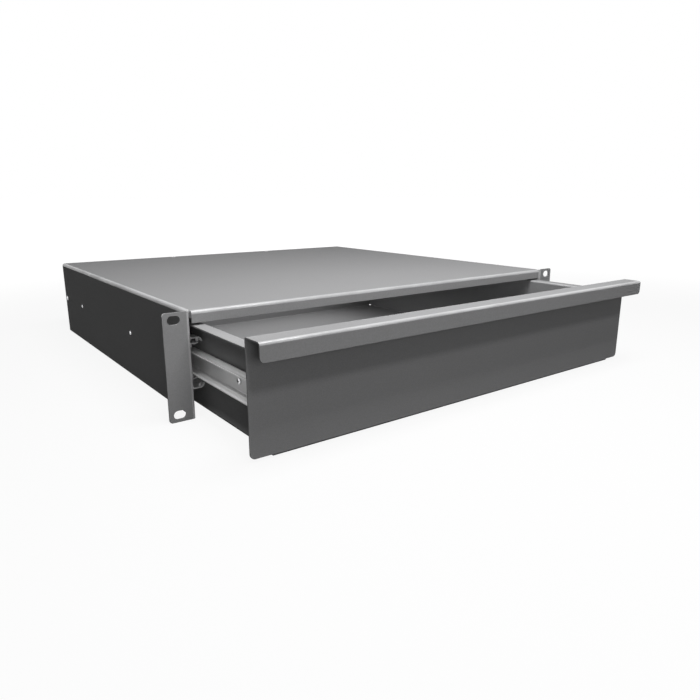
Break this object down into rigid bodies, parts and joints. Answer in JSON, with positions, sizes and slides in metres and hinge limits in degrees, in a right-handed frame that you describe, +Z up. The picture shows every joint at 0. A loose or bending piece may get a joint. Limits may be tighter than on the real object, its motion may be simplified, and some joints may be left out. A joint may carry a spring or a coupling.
{
  "type": "sliding rack drawer",
  "caption": "Two-unit sliding storage drawer for a 19-inch rack: a folded steel case with slotted ears holds a tray with a full-width pull on telescopic ball slides.",
  "frame": {"origin": "middle of the four rack slots, on the ears' back faces", "axes": "+X to the right and +Z up as seen from the front of the rack, +Y towards the rear of the rack, so the drawer opens along -Y"},
  "size_m": [0.4826, 0.5333, 0.0891],
  "materials": {
    "case_paint": "semi-gloss powder coat",
    "drawer_paint": "semi-gloss powder coat",
    "zinc_steel": "bright zinc plate",
    "fastener_steel": "bright zinc plate",
    "cage_steel": "rolled strip",
    "ball_steel": "polished",
    "buffer_plastic": "moulded"
  },
  "bodies": {
    "case": {"case_shell": "case_paint", "rear_panel": "case_paint", "rear_panel_rivets": "fastener_steel", "slide_outer_left": "zinc_steel", "slide_outer_right": "zinc_steel", "slide_outer_screws": "fastener_steel", "slide_outer_buffers": "buffer_plastic"},
    "outer_ball_cages": {"ball_cage_outer_left": "cage_steel", "ball_cage_outer_right": "cage_steel", "balls_outer": "ball_steel"},
    "slide_middles": {"slide_middle_left": "zinc_steel", "slide_middle_right": "zinc_steel", "slide_middle_buffers": "buffer_plastic"},
    "inner_ball_cages": {"ball_cage_inner_left": "cage_steel", "ball_cage_inner_right": "cage_steel", "balls_inner": "ball_steel"},
    "drawer": {"drawer_tray": "drawer_paint", "front_panel": "drawer_paint", "slide_inner_left": "zinc_steel", "slide_inner_right": "zinc_steel", "slide_inner_screws": "fastener_steel"}
  },
  "joints": [
    {"name": "middle_slide", "type": "slide", "parent": "case", "child": "slide_middles", "axis": [0, -1, 0], "range_m": [0, 0.175]},
    {"name": "outer_cage_roll", "type": "slide", "parent": "case", "child": "outer_ball_cages", "axis": [0, -1, 0], "range_m": [0, 0.0875]},
    {"name": "drawer_slide", "type": "slide", "parent": "slide_middles", "child": "drawer", "axis": [0, -1, 0], "range_m": [-0.101, 0.074]},
    {"name": "inner_cage_roll", "type": "slide", "parent": "slide_middles", "child": "inner_ball_cages", "axis": [0, -1, 0], "range_m": [-0.0505, 0.037]}
  ],
  "couplings": [
    {"joint": "outer_cage_roll", "follows": "middle_slide", "ratio": 0.5},
    {"joint": "inner_cage_roll", "follows": "drawer_slide", "ratio": 0.5}
  ]
}
